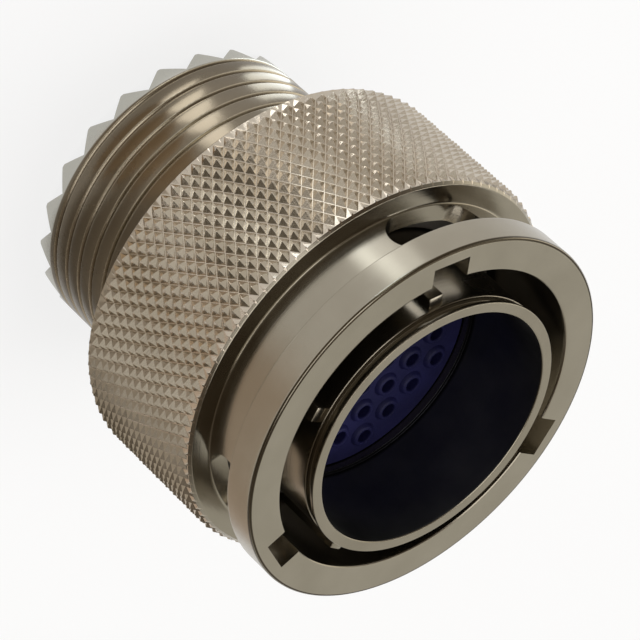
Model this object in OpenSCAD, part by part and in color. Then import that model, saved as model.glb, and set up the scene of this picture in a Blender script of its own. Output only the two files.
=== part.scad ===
// Bayonet connector plug with a knurled coupling ring and a socket insert.
// The plug stands on its serrated rear end, mating face up, axis on Z.
// Lengths are in millimetres and angles in degrees.

/* [Shell] */
// Overall length, tips of the rear serrations to the front rim
shell_len = 23.4; // [22.6:0.1:26]
// Diameter of the bore that takes the mating insert
mating_bore_d = 14.53; // [13.6:0.01:16]
// Depth of that bore, from the rim to the step over the insert
mating_depth = 5.8; // [4.5:0.1:6.6]
// Wall of the front barrel
barrel_wall = 0.57; // [0.45:0.01:0.8]
// Length of the thin land at the rim
rim_len = 0.22; // [0.15:0.01:0.35]
// How far the rim land stands out past the barrel
rim_lip = 0.07; // [0:0.01:0.15]
// Width of the groove behind the rim land
rim_groove_w = 0.5; // [0.3:0.05:0.7]
// Depth of that groove
rim_groove_depth = 0.3; // [0.15:0.01:0.35]
// Thickness of the flange that carries the coupling ring
flange_len = 1.8; // [1.4:0.1:2.4]
// Setback of the flange behind the front face of the coupling ring
flange_setback = 7.2; // [6.6:0.1:8]

/* [Accessory thread] */
// Wall between the insert bore and the crest of the thread
thread_wall = 1.3; // [1.1:0.05:1.6]
// Length of the thread, serrations included
thread_len = 7.2; // [6:0.1:7.4]
// Width of the relief groove above the thread
relief_w = 1; // [0.6:0.1:1.2]
// Depth of the relief groove
relief_depth = 0.7; // [0.4:0.05:0.8]
// Step from the thread crest in to the neck
neck_step = 0.15; // [0.1:0.05:0.3]
// Number of serrations
tooth_count = 22; // [16:1:28]
// Height of a serration
tooth_h = 0.82; // [0.5:0.02:1.2]
// Flat left on the tip of a serration
tooth_land = 0.2; // [0.1:0.02:0.4]
// Direction of the first gap between serrations
tooth_phase = 5.1; // [2:0.1:14]

/* [Keys] */
// Width of a polarizing key
key_w = 0.88; // [0.6:0.02:1.2]
// Height of a key above the barrel
key_h = 0.66; // [0.4:0.02:0.9]
// Setback of a key behind the rim groove
key_setback = 0.2; // [0.15:0.05:0.5]
// Length of a key
key_len = 4.3; // [3:0.1:5]

/* [Coupling ring] */
// Length of the coupling ring
ring_len = 14; // [13.2:0.1:15]
// How far the rim stands in front of the ring
rim_proud = 0.7; // [0.4:0.05:1]
// Radial gap for the mating shell, barrel to ring mouth
mating_gap = 1.59; // [1.4:0.01:1.9]
// Step from the ring mouth out to the spring chamber
ring_shoulder = 0.78; // [0.6:0.02:0.9]
// Wall from the spring chamber to the crest of the knurl
ring_wall = 1.8; // [1.5:0.05:2.4]
// Wall from the mouth to the outside of the front band
band_wall = 1.98; // [1.7:0.02:2.2]
// Width of the front band
band_w = 1.92; // [1.6:0.02:2.2]
// Wall from the mouth to the floor of the outer groove
groove_wall = 0.99; // [0.7:0.01:1.1]
// Width of the outer groove between band and knurl
groove_w = 2.85; // [2.6:0.05:3.2]
// Bevel at both ends of the knurl
knurl_bevel = 0.45; // [0.4:0.05:0.6]
// Number of knurl crests round the ring
knurl_count = 98; // [60:1:120]
// Number of knurl rows along the ring
knurl_rows = 16; // [10:1:20]
// Depth of the knurl from crest to root
knurl_depth = 0.3; // [0.2:0.01:0.34]
// Lean of the knurl: how far each row slips round the ring, as a share of half a pitch
knurl_skew = 0.18; // [0:0.02:0.3]
// Step from the root of the knurl in to the turned blank
knurl_seat = 0.02; // [0.01:0.01:0.04]
// Bevel on the edges of the front band
band_bevel = 0.14; // [0.05:0.01:0.25]

/* [Bayonet] */
// Number of bayonet tracks
track_count = 3; // [2:1:4]
// Width of an entry notch
notch_w = 2.3; // [1.6:0.05:2.5]
// Depth of a notch past the ring mouth
notch_depth = 1.18; // [0.9:0.01:1.4]
// Margin of a window inside the outer groove
window_margin = 0.1; // [0.05:0.01:0.2]
// Relief of the drilled window ends past the milled slot
window_relief = 0.05; // [0.03:0.01:0.1]
// Angle that the ring turns from entry to lock
lock_turn = 20; // [15:1:30]
// Direction of the first entry notch
entry_angle = 230.6; // [0:0.1:360]

/* [Ring retention] */
// Running clearance, flange to coupling ring, per side
running_gap = 0.08; // [0.04:0.01:0.1]
// Clearance between faces that turn on each other
face_gap = 0.05; // [0.03:0.01:0.1]
// Room for the wave spring
spring_room = 1.98; // [1.6:0.02:2.2]
// Thickness of the spring strip
spring_strip = 0.3; // [0.2:0.02:0.4]
// Number of waves in the spring
spring_waves = 4; // [3:1:6]
// Thickness of the thrust washer
washer_len = 0.8; // [0.6:0.05:1]
// Thickness of a retaining ring
retainer_len = 0.55; // [0.4:0.05:0.7]
// Radial seat of a retaining ring in its groove
retainer_seat = 0.35; // [0.25:0.05:0.45]
// Land of the insert's retaining ring inside the bore
retainer_land = 0.43; // [0.3:0.01:0.6]
// Gap in a retaining ring
retainer_split = 18; // [8:1:40]
// Side clearance of pieces that slide over the thread
pass_gap = 0.2; // [0.15:0.05:0.3]

/* [Insert] */
// Number of hexagonal rows of contacts around the centre one
contact_rows = 3; // [1:1:3]
// Centre distance of the contacts
contact_pitch = 1.9; // [1.7:0.05:2]
// Drop of the insert face below the end of the mating bore
face_drop = 0.45; // [0.4:0.01:0.6]
// Height of the raised ring around each contact hole
bump_h = 0.25; // [0.15:0.01:0.26]
// Diameter of that ring at its foot
bump_d = 1.5; // [1.2:0.05:1.6]
// Diameter of the contact holes in the face
pin_hole_d = 0.8; // [0.7:0.02:0.9]
// Thickness of the face seal
face_seal_len = 1.15; // [0.9:0.05:1.25]
// Seat of the insert in front of its stop
seat_len = 1.9; // [1.85:0.05:2.3]
// Step from the mating bore in to that seat
seat_step = 0.22; // [0.18:0.01:0.3]
// Step that stops the insert
stop_step = 0.41; // [0.3:0.01:0.5]
// Thickness of the front insulator behind its stop
front_insulator_len = 2.4; // [1.6:0.1:3]
// Thickness of the contact retention disc
retention_len = 1.6; // [1.2:0.1:2]
// Thickness of the rear insulator
rear_insulator_len = 3; // [2.2:0.1:3.2]
// Length of the wire sealing grommet
grommet_len = 4; // [3.4:0.1:4.2]
// Diameter of the wire holes in the grommet
wire_hole_d = 1; // [0.8:0.05:1.2]
// Clearance of the insert in the shell, per side
insert_gap = 0.08; // [0.04:0.01:0.15]

/* [Contacts] */
// Outside diameter of a socket contact
contact_d = 1.2; // [1:0.02:1.3]
// Diameter of the bore that takes the mating pin
socket_bore_d = 0.72; // [0.6:0.02:0.8]
// Depth of that bore
socket_depth = 2.2; // [1.5:0.1:2.4]
// Diameter of the stop collar
collar_d = 1.5; // [1.42:0.02:1.6]
// Length of the stop collar
collar_len = 0.4; // [0.3:0.05:0.6]
// Diameter of the crimp bore
crimp_bore_d = 0.8; // [0.6:0.02:0.86]
// Depth of the crimp bore
crimp_depth = 2.4; // [1.5:0.1:2.6]
// Width of the slot between the socket tines
tine_slot = 0.12; // [0.08:0.01:0.16]
// Clearance of a contact in its cavity, per side
contact_gap = 0.06; // [0.04:0.01:0.08]

/* [Peripheral seal] */
// Thickness of the seal on the flange
seal_len = 1; // [0.6:0.05:1.4]
// Clearance of the seal to the ring mouth
seal_gap = 0.3; // [0.2:0.02:0.4]
// Clearance of the seal on the barrel
seal_fit = 0.08; // [0.04:0.01:0.15]

/* [Hidden] */
$fn = 96;
overcut = 1;

// Radii of the shell, from the mating bore outwards
mating_r = mating_bore_d / 2;
rim_bevel = barrel_wall / 5;
barrel_r = mating_r + barrel_wall;
rim_r = barrel_r + rim_lip;
rim_groove_r = barrel_r - rim_groove_depth;
seat_r = mating_r - seat_step;
insert_bore_r = seat_r + stop_step;
thread_r = insert_bore_r + thread_wall;
relief_r = thread_r - relief_depth;
neck_r = thread_r - neck_step;

// Radii of the coupling ring
mouth_r = barrel_r + mating_gap;
chamber_r = mouth_r + ring_shoulder;
knurl_r = chamber_r + ring_wall;
knurl_root_r = knurl_r - knurl_depth;
blank_r = knurl_root_r - knurl_seat;
band_r = mouth_r + band_wall;
groove_r = mouth_r + groove_wall;
notch_r = mouth_r + notch_depth;
flange_r = chamber_r - running_gap;

// Heights of the shell and the ring
barrel_top = shell_len - rim_len - rim_groove_w;
ring_front = shell_len - rim_proud;
ring_rear = ring_front - ring_len;
band_rear = ring_front - band_w;
groove_rear = band_rear - groove_w;
flange_front = ring_front - flange_setback;
flange_rear = flange_front - flange_len;
chamber_top = flange_front + face_gap;
washer_front = flange_rear - spring_room;
washer_rear = washer_front - washer_len;
ring_retainer_top = washer_rear - face_gap;
knurl_end = knurl_bevel - knurl_depth;

// Heights of the insert, from its seat back
seat_top = shell_len - mating_depth;
stop_z = seat_top - seat_len;
face_z = seat_top - face_drop;
face_seal_rear = face_z - face_seal_len;
front_insulator_rear = stop_z - front_insulator_len;
retention_rear = front_insulator_rear - retention_len;
rear_insulator_rear = retention_rear - rear_insulator_len;
grommet_rear = rear_insulator_rear - grommet_len;
insert_retainer_top = grommet_rear - face_gap;

// Radii of the insert and of the pieces round the neck
front_insert_r = seat_r - insert_gap;
insert_r = insert_bore_r - insert_gap;
cavity_r = contact_d / 2 + contact_gap;
collar_cavity_r = collar_d / 2 + contact_gap;
neck_ring_r = thread_r + pass_gap;
groove_slack = 0.05;

// Polarizing keys: the master first, then the others, seen from the front
key_angles = [234, 295, 16, 82, 145];

// Finishes
nickel = [0.66, 0.63, 0.56];
spring_steel = [0.55, 0.55, 0.56];
blue_seal = [0.08, 0.08, 0.3];
blue_plastic = [0.1, 0.12, 0.38];
dark_rubber = [0.12, 0.12, 0.14];
gold = [0.83, 0.66, 0.28];

// Contact places on a hexagonal grid, row by row from the front edge up
contact_places = [
    for (row = [-contact_rows:contact_rows])
        for (i = [0:2 * contact_rows - abs(row)])
            [(i - contact_rows + abs(row) / 2) * contact_pitch, row * contact_pitch * sqrt(3) / 2]
];
contact_count = len(contact_places);

function contact_name(i) = str("contact_", i < 9 ? "0" : "", i + 1);

// A tube standing on z with the given radii
module tube(inner, outer, z, len) {
    rotate_extrude() translate([inner, z]) square([outer - inner, len]);
}

// Copies of the children on every contact place
module at_contacts() {
    for (place = contact_places) translate([place[0], place[1], 0]) children();
}

// Straight holes through a disc on every contact place
module contact_holes(radius, z, len) {
    at_contacts() translate([0, 0, z]) cylinder(r = radius, h = len);
}

// Split retaining ring
module retaining_ring(inner, outer, z) {
    rotate([0, 0, retainer_split / 2])
        rotate_extrude(angle = 360 - retainer_split)
            translate([inner, z]) square([outer - inner, retainer_len]);
}

// V cuts between the serrations of the rear end
module serration_cuts() {
    pitch = 2 * PI * thread_r / tooth_count;
    half = (pitch - tooth_land) / 2;
    spread = half * (1 + overcut / tooth_h);
    for (i = [0:tooth_count - 1])
        rotate([90, 0, 90 + tooth_phase + i * 360 / tooth_count])
            translate([0, 0, insert_bore_r - overcut])
                linear_extrude(thread_wall + 2 * overcut)
                    polygon([[-spread, -overcut], [spread, -overcut], [0, tooth_h]]);
}

// Turned profile of the shell, from the rear end up the outside and back down the bores
module shell_profile() {
    groove_top = insert_retainer_top + groove_slack / 2;
    groove_base = insert_retainer_top - retainer_len - groove_slack / 2;
    groove_depth_r = insert_bore_r + retainer_seat + groove_slack;
    polygon([
        [insert_bore_r, 0],
        [thread_r, 0],
        [thread_r, thread_len],
        [relief_r, thread_len],
        [relief_r, thread_len + relief_w],
        [neck_r, thread_len + relief_w],
        [neck_r, flange_rear],
        [flange_r, flange_rear],
        [flange_r, flange_front],
        [barrel_r, flange_front],
        [barrel_r, barrel_top - rim_bevel],
        [barrel_r - rim_bevel, barrel_top],
        [rim_groove_r, barrel_top],
        [rim_groove_r, shell_len - rim_len],
        [rim_r, shell_len - rim_len],
        [rim_r, shell_len],
        [mating_r + rim_bevel, shell_len],
        [mating_r, shell_len - rim_bevel],
        [mating_r, seat_top],
        [seat_r, seat_top],
        [seat_r, stop_z],
        [insert_bore_r, stop_z],
        [insert_bore_r, groove_top],
        [groove_depth_r, groove_top],
        [groove_depth_r, groove_base],
        [insert_bore_r, groove_base]
    ]);
}

// Keys on the barrel, sunk into its wall
module keys() {
    sink = barrel_wall / 2;
    for (angle = key_angles)
        rotate([0, 0, angle])
            translate([barrel_r - sink, -key_w / 2, barrel_top - key_setback - key_len])
                cube([key_h + sink, key_w, key_len]);
}

module plug_shell() {
    color(nickel) {
        difference() {
            rotate_extrude() shell_profile();
            serration_cuts();
        }
        keys();
    }
}

// Diamond knurl as a sleeve on the blank: each row has crests and roots by turns, set off from the row below,
// and the rows at both ends are all roots
module knurl() {
    around = 2 * knurl_count;
    row_h = (groove_rear - ring_rear - 2 * knurl_end) / knurl_rows;
    points = [
        for (row = [0:knurl_rows], i = [0:around - 1])
            let (
                crest = row > 0 && row < knurl_rows && (row + i) % 2 == 0,
                r = crest ? knurl_r : knurl_root_r,
                turn = (i + row * knurl_skew) * 360 / around,
                z = ring_rear + knurl_end + row * row_h
            )
            [r * cos(turn), r * sin(turn), z]
    ];
    sides = [
        for (row = [0:knurl_rows - 1], i = [0:around - 1])
            let (
                next = (i + 1) % around,
                a = row * around + i, b = row * around + next,
                c = a + around, d = b + around
            )
            for (triangle = (row + i) % 2 == 0 ? [[a, c, b], [c, d, b]] : [[a, c, d], [a, d, b]])
                triangle
    ];
    ends = [
        [for (i = [0:around - 1]) i],
        [for (i = [0:around - 1]) (knurl_rows + 1) * around - 1 - i]
    ];
    difference() {
        polyhedron(points, concat(sides, ends));
        translate([0, 0, ring_rear]) cylinder(r = (chamber_r + blank_r) / 2, h = groove_rear - ring_rear);
    }
}

// Turned profile of the coupling ring
module ring_profile() {
    groove_top = ring_retainer_top + groove_slack / 2;
    groove_base = ring_retainer_top - retainer_len - groove_slack / 2;
    groove_depth_r = chamber_r + retainer_seat + groove_slack;
    polygon([
        [chamber_r, ring_rear],
        [knurl_r - knurl_bevel, ring_rear],
        [blank_r, ring_rear + knurl_end - knurl_seat],
        [blank_r, groove_rear - knurl_end + knurl_seat],
        [knurl_r - knurl_bevel, groove_rear],
        [groove_r, groove_rear],
        [groove_r, band_rear],
        [band_r - band_bevel, band_rear],
        [band_r, band_rear + band_bevel],
        [band_r, ring_front - band_bevel],
        [band_r - band_bevel, ring_front],
        [mouth_r + band_bevel, ring_front],
        [mouth_r, ring_front - band_bevel],
        [mouth_r, chamber_top],
        [chamber_r, chamber_top],
        [chamber_r, groove_top],
        [groove_depth_r, groove_top],
        [groove_depth_r, groove_base],
        [chamber_r, groove_base]
    ]);
}

// One bayonet track: entry notch, then a turning slot that opens into the outer groove
module bayonet_track() {
    window_w = groove_w - 2 * window_margin;
    slot_w = window_w - 2 * window_relief;
    track_mid = band_rear - groove_w / 2;
    inner = mouth_r - overcut;
    translate([inner, -notch_w / 2, track_mid])
        cube([notch_r - inner, notch_w, ring_front - track_mid + overcut]);
    for (angle = [0, -lock_turn])
        rotate([0, 0, angle])
            translate([inner, 0, track_mid])
                rotate([0, 90, 0])
                    cylinder(d = window_w, h = knurl_r - inner);
    rotate([0, 0, -lock_turn])
        rotate_extrude(angle = lock_turn)
            translate([inner, track_mid - slot_w / 2])
                square([band_r - inner, slot_w]);
}

module coupling_ring() {
    color(nickel) {
        difference() {
            rotate_extrude() ring_profile();
            for (i = [0:track_count - 1])
                rotate([0, 0, entry_angle + i * 360 / track_count])
                    bayonet_track();
        }
        knurl();
    }
}

module ring_retainer() {
    color(spring_steel)
        retaining_ring(neck_ring_r, chamber_r + retainer_seat, ring_retainer_top - retainer_len);
}

module thrust_washer() {
    color(spring_steel)
        tube(neck_ring_r, flange_r, washer_rear, washer_len);
}

// Wave spring: a flat strip bent up and down round the neck
module wave_spring() {
    steps = 18 * spring_waves;
    strip_in = neck_ring_r;
    strip_out = flange_r - running_gap;
    rise = (spring_room - spring_strip) / 2 - face_gap;
    middle = washer_front + spring_room / 2;
    half = spring_strip / 2;
    corners = [[strip_in, -half], [strip_out, -half], [strip_out, half], [strip_in, half]];
    points = [
        for (i = [0:steps - 1])
            let (turn = i * 360 / steps, z = middle + rise * cos(spring_waves * turn))
            for (corner = corners)
                [corner[0] * cos(turn), corner[0] * sin(turn), z + corner[1]]
    ];
    faces = [
        for (i = [0:steps - 1], k = [0:3])
            let (a = 4 * i, b = 4 * ((i + 1) % steps), n = (k + 1) % 4)
            for (triangle = [[a + k, a + n, b + n], [a + k, b + n, b + k]])
                triangle
    ];
    color(spring_steel) polyhedron(points, faces);
}

module peripheral_seal() {
    color(dark_rubber)
        tube(barrel_r + seal_fit, mouth_r - seal_gap, flange_front, seal_len);
}

// Raised ring round a contact hole, narrowing to its top
module bump(z, rise) {
    translate([0, 0, z])
        cylinder(r1 = bump_d / 2, r2 = (bump_d + pin_hole_d) / 4, h = rise);
}

module face_seal() {
    color(blue_seal)
        difference() {
            union() {
                translate([0, 0, face_seal_rear])
                    cylinder(r = front_insert_r, h = face_seal_len);
                at_contacts() bump(face_z, bump_h);
            }
            contact_holes(pin_hole_d / 2, face_seal_rear - overcut, face_seal_len + bump_h + 2 * overcut);
        }
}

module front_insulator() {
    color(blue_plastic)
        difference() {
            union() {
                translate([0, 0, front_insulator_rear])
                    cylinder(r = insert_r, h = front_insulator_len);
                translate([0, 0, stop_z])
                    cylinder(r = front_insert_r, h = face_seal_rear - stop_z);
            }
            contact_holes(cavity_r, front_insulator_rear - overcut,
                          face_seal_rear - front_insulator_rear + 2 * overcut);
        }
}

// Disc that traps the collar of each contact
module retention_disc() {
    collar_room = collar_len + contact_gap;
    color(blue_plastic)
        difference() {
            translate([0, 0, retention_rear])
                cylinder(r = insert_r, h = retention_len);
            contact_holes(cavity_r, retention_rear - overcut, retention_len + 2 * overcut);
            contact_holes(collar_cavity_r, front_insulator_rear - collar_room, collar_room + overcut);
        }
}

module rear_insulator() {
    color(blue_plastic)
        difference() {
            translate([0, 0, rear_insulator_rear])
                cylinder(r = insert_r, h = rear_insulator_len);
            contact_holes(cavity_r, rear_insulator_rear - overcut, rear_insulator_len + 2 * overcut);
        }
}

module wire_grommet() {
    color(blue_seal)
        difference() {
            union() {
                translate([0, 0, grommet_rear])
                    cylinder(r = insert_r, h = grommet_len);
                at_contacts() mirror([0, 0, 1]) bump(-grommet_rear, bump_h);
            }
            contact_holes(wire_hole_d / 2, grommet_rear - bump_h - overcut,
                          grommet_len + bump_h + 2 * overcut);
        }
}

module insert_retainer() {
    color(spring_steel)
        retaining_ring(insert_bore_r - retainer_land, insert_bore_r + retainer_seat,
                       insert_retainer_top - retainer_len);
}

// Socket contact: slotted socket in front, stop collar, crimp barrel behind
module socket_contact() {
    front = face_seal_rear - contact_gap;
    back = rear_insulator_rear + contact_gap;
    collar_top = front_insulator_rear;
    contact_r = contact_d / 2;
    rotate_extrude()
        polygon([
            [0, back + crimp_depth],
            [crimp_bore_d / 2, back + crimp_depth],
            [crimp_bore_d / 2, back],
            [contact_r, back],
            [contact_r, collar_top - collar_len],
            [collar_d / 2, collar_top - collar_len],
            [collar_d / 2, collar_top],
            [contact_r, collar_top],
            [contact_r, front],
            [socket_bore_d / 2, front],
            [socket_bore_d / 2, front - socket_depth],
            [0, front - socket_depth]
        ]);
}

// Slot that parts the two tines of a socket
module tine_cut() {
    front = face_seal_rear - contact_gap;
    translate([-contact_d, -tine_slot / 2, front - socket_depth])
        cube([2 * contact_d, tine_slot, socket_depth + overcut]);
}

module contact(place) {
    color(gold)
        translate([place[0], place[1], 0])
            difference() {
                socket_contact();
                tine_cut();
            }
}

plug_shell();
coupling_ring();
ring_retainer();
thrust_washer();
wave_spring();
peripheral_seal();
face_seal();
front_insulator();
retention_disc();
rear_insulator();
wire_grommet();
insert_retainer();
for (i = [0:contact_count - 1])
    contact(contact_places[i]);
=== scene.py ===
import math

import bmesh
import bpy
from mathutils import Matrix, Vector


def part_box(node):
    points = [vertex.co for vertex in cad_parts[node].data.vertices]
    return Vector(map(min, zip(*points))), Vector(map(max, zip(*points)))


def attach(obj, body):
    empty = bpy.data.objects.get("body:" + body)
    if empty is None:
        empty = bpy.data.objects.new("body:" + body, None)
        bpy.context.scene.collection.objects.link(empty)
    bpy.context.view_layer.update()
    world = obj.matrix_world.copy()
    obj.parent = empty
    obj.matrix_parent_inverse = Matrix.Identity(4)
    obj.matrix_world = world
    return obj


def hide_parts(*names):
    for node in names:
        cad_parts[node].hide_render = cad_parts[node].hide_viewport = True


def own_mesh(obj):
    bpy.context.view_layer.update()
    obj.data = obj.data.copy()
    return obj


# Bayonet connector plug. Sizes in the dictionaries are in mm, the meshes in metres.
mm = 0.001

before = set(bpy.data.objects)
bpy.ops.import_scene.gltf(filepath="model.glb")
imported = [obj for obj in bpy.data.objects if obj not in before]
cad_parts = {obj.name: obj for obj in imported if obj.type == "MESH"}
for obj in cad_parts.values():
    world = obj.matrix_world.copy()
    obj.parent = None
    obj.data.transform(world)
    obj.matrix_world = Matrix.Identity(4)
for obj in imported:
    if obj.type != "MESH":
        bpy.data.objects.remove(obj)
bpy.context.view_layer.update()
scene = bpy.context.scene
scene.view_settings.view_transform = "Standard"
print("frame loaded:", len(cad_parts), "nodes")


def nodeBox(node):
    low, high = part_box(node)
    return low / mm, high / mm


shellHigh = nodeBox("plug_shell")[1]
ringLow, ringHigh = nodeBox("coupling_ring")
washerLow, washerHigh = nodeBox("thrust_washer")
clipLow, clipHigh = nodeBox("ring_retainer")
springLow, springHigh = nodeBox("wave_spring")
padLow, padHigh = nodeBox("peripheral_seal")
faceLow, faceHigh = nodeBox("face_seal")
grommetLow, grommetHigh = nodeBox("wire_grommet")
circlipLow, circlipHigh = nodeBox("insert_retainer")


# mesh helpers

cornerSet = dict(steps=3, reach=0.3, support=1.5)


def linkMesh(name, mesh):
    piece = bpy.data.objects.new(name, mesh)
    scene.collection.objects.link(piece)
    return piece


def rowsMesh(name, rows, wrapRows=True, wrapTurn=True, caps=False):
    # skin over rows of points given in mm
    count = len(rows[0])
    points = [Vector(p) * mm for row in rows for p in row]
    faces = []
    for i in range(len(rows) if wrapRows else len(rows) - 1):
        a, b = i * count, (i + 1) % len(rows) * count
        for j in range(count if wrapTurn else count - 1):
            k = (j + 1) % count
            faces.append((a + j, a + k, b + k, b + j))
    if caps:
        last = (len(rows) - 1) * count
        faces += [tuple(range(count)), tuple(last + j for j in reversed(range(count)))]
    mesh = bpy.data.meshes.new(name)
    mesh.from_pydata(points, [], faces)
    return linkMesh(name, mesh)


def tidyNormals(piece, sharp=32, merge=0.0005):
    bm = bmesh.new()
    bm.from_mesh(piece.data)
    bmesh.ops.remove_doubles(bm, verts=bm.verts, dist=merge * mm)
    bmesh.ops.recalc_face_normals(bm, faces=bm.faces)
    for face in bm.faces:
        face.smooth = True
    bm.to_mesh(piece.data)
    bm.free()
    piece.data.set_sharp_from_angle(angle=math.radians(sharp))


def plainMesh(piece):
    # modifiers turned into mesh
    bpy.context.view_layer.update()
    ready = piece.evaluated_get(bpy.context.evaluated_depsgraph_get())
    mesh = bpy.data.meshes.new_from_object(ready)
    piece.modifiers.clear()
    old = piece.data
    piece.data = mesh
    mesh.name = piece.name
    bpy.data.meshes.remove(old)


def carve(piece, tool, operation="DIFFERENCE"):
    cut = piece.modifiers.new("carve", "BOOLEAN")
    cut.object = tool
    cut.operation = operation
    cut.solver = "EXACT"
    plainMesh(piece)
    bpy.data.objects.remove(tool)


def roundCorners(corners):
    # closed profile of (radius, height, cut, mark)
    # each cut corner becomes a small arc between two support points
    steps, reach, support = cornerSet["steps"], cornerSet["reach"], cornerSet["support"]
    shares = [k / steps for k in range(steps + 1)]
    points = []
    for i, (r, z, cut, mark) in enumerate(corners):
        here = Vector((r, z))
        if cut == 0:
            points.append((r, z, mark))
            continue
        back = Vector(corners[i - 1][:2]) - here
        ahead = Vector(corners[(i + 1) % len(corners)][:2]) - here
        cut = min(cut, back.length * reach, ahead.length * reach)
        back.normalize()
        ahead.normalize()
        arc = [here + back * cut * (1 - t) ** 2 + ahead * cut * t ** 2 for t in shares]
        for p in [here + back * cut * support, *arc, here + ahead * cut * support]:
            points.append((p.x, p.y, mark))
    return points


def turned(name, corners, turns, rise=None, wrap=True):
    # revolves a profile; marked points ride up with rise(radius, angle)
    profile = roundCorners([c if len(c) == 4 else (*c, 0) for c in corners])
    rows = []
    for a in turns:
        c, s = math.cos(a), math.sin(a)
        rows.append([(r * c, r * s, z + (rise(r, a) if mark else 0)) for r, z, mark in profile])
    return rowsMesh(name, rows, wrapRows=wrap, caps=not wrap)


def evenTurns(count):
    return [2 * math.pi * i / count for i in range(count)]


def splitTurns(gap, count):
    # open turn with a gap of that many degrees round +X
    start, sweep = math.radians(gap / 2), math.radians(360 - gap)
    return [start + sweep * i / count for i in range(count + 1)]


# node helpers

def newTree(name, sockets):
    tree = bpy.data.node_groups.new(name, "GeometryNodeTree")
    tree.interface.new_socket("Geometry", in_out="OUTPUT", socket_type="NodeSocketGeometry")
    tree.interface.new_socket("Geometry", in_out="INPUT", socket_type="NodeSocketGeometry")
    for label, kind in sockets:
        tree.interface.new_socket(label, in_out="INPUT", socket_type="NodeSocket" + kind)
    source = tree.nodes.new("NodeGroupInput")
    target = tree.nodes.new("NodeGroupOutput")
    return tree, source, target


def runTree(piece, tree, values):
    modifier = piece.modifiers.new(tree.name, "NODES")
    modifier.node_group = tree
    for item in tree.interface.items_tree:
        if item.in_out == "INPUT" and item.name in values:
            modifier[item.identifier] = values[item.name]
    plainMesh(piece)


def mathNode(tree, operation, a, b=None, c=None):
    node = tree.nodes.new("ShaderNodeMath")
    node.operation = operation
    for i, value in enumerate((a, b, c)):
        if value is None:
            continue
        if isinstance(value, (int, float)):
            node.inputs[i].default_value = value
        else:
            tree.links.new(value, node.inputs[i])
    return node.outputs[0]


def radiusNode(tree, x, y):
    squares = mathNode(tree, "ADD", mathNode(tree, "POWER", x, 2), mathNode(tree, "POWER", y, 2))
    return mathNode(tree, "SQRT", squares)


# finishes

noiseSet = dict(roughness=0.55, cloudDetail=4, lineDetail=2, grainDetail=3, low=0.3, high=0.7,
                lineStep=0.02, grainStep=0.03)


def newMaterial(name):
    material = bpy.data.materials.new(name)
    material.use_nodes = True
    return material, material.node_tree, material.node_tree.nodes["Principled BSDF"]


def noiseNode(tree, vector, scale, detail):
    node = tree.nodes.new("ShaderNodeTexNoise")
    node.inputs["Scale"].default_value = scale
    node.inputs["Detail"].default_value = detail
    node.inputs["Roughness"].default_value = noiseSet["roughness"]
    tree.links.new(vector, node.inputs["Vector"])
    return node.outputs["Fac"]


def rampNode(tree, value, stops):
    node = tree.nodes.new("ShaderNodeValToRGB")
    ramp = node.color_ramp
    while len(ramp.elements) < len(stops):
        ramp.elements.new(0.5)
    for element, (place, colour) in zip(ramp.elements, stops):
        element.position = place
        element.color = (*colour, 1)
    tree.links.new(value, node.inputs["Fac"])
    return node.outputs["Color"]


def rangeNode(tree, value, low, high, fromLow=noiseSet["low"], fromHigh=noiseSet["high"]):
    node = tree.nodes.new("ShaderNodeMapRange")
    node.inputs["From Min"].default_value = fromLow
    node.inputs["From Max"].default_value = fromHigh
    node.inputs["To Min"].default_value = low
    node.inputs["To Max"].default_value = high
    tree.links.new(value, node.inputs["Value"])
    return node.outputs["Result"]


def bumpNode(tree, height, strength, distance):
    node = tree.nodes.new("ShaderNodeBump")
    node.inputs["Strength"].default_value = strength
    node.inputs["Distance"].default_value = distance * mm
    tree.links.new(height, node.inputs["Height"])
    return node.outputs["Normal"]


def turnCoords(tree):
    # object coordinates, (radius, height) for marks left by turning, then both on their own
    place = tree.nodes.new("ShaderNodeTexCoord").outputs["Object"]
    split = tree.nodes.new("ShaderNodeSeparateXYZ")
    tree.links.new(place, split.inputs[0])
    radius = radiusNode(tree, split.outputs[0], split.outputs[1])
    join = tree.nodes.new("ShaderNodeCombineXYZ")
    tree.links.new(radius, join.inputs[0])
    tree.links.new(split.outputs[2], join.inputs[1])
    return place, join.outputs[0], radius, split.outputs[2]


def blend(tree, share, low, high):
    # inputs 6 and 7 and output 2 are the node's colours
    node = tree.nodes.new("ShaderNodeMix")
    node.data_type = "RGBA"
    tree.links.new(share, node.inputs["Factor"])
    for socket, colour in ((node.inputs[6], low), (node.inputs[7], high)):
        if isinstance(colour, tuple):
            socket.default_value = (*colour, 1)
        else:
            tree.links.new(colour, socket)
    return node.outputs[2]


def cloudColour(tree, cloud, low, high):
    return rampNode(tree, cloud, [(noiseSet["low"], low), (noiseSet["high"], high)])


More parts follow.
